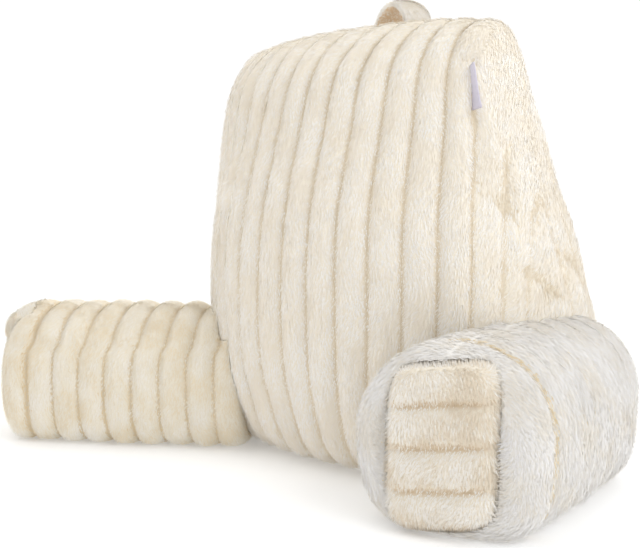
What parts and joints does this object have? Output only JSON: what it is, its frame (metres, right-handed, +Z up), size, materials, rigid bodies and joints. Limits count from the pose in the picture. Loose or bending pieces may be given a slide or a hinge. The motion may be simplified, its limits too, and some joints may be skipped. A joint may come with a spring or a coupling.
{
  "type": "backrest pillow",
  "caption": "Upright backrest pillow in ribbed plush with two roll arms, ribbed end panels, a top carrying strap and a blank side label.",
  "frame": {"origin": "on the flat underside of the back, near its middle, where it rests on the bed", "axes": "Z up, -Y out of the front of the back where the sitter leans, X across, +X towards the picture's near arm"},
  "size_m": [0.7764, 0.5552, 0.5445],
  "materials": {
    "plush": "short ribbed plush, ivory",
    "end_plush": "short ribbed plush, ivory",
    "strap_plush": "short plush, warm ivory",
    "label_cloth": "smooth woven tape, off-white, blank"
  },
  "bodies": {
    "root": {"backrest": "plush", "arm_right": "plush", "arm_left": "plush", "cap_right": "end_plush", "cap_left": "end_plush", "handle": "strap_plush", "side_label": "label_cloth"}
  },
  "joints": []
}
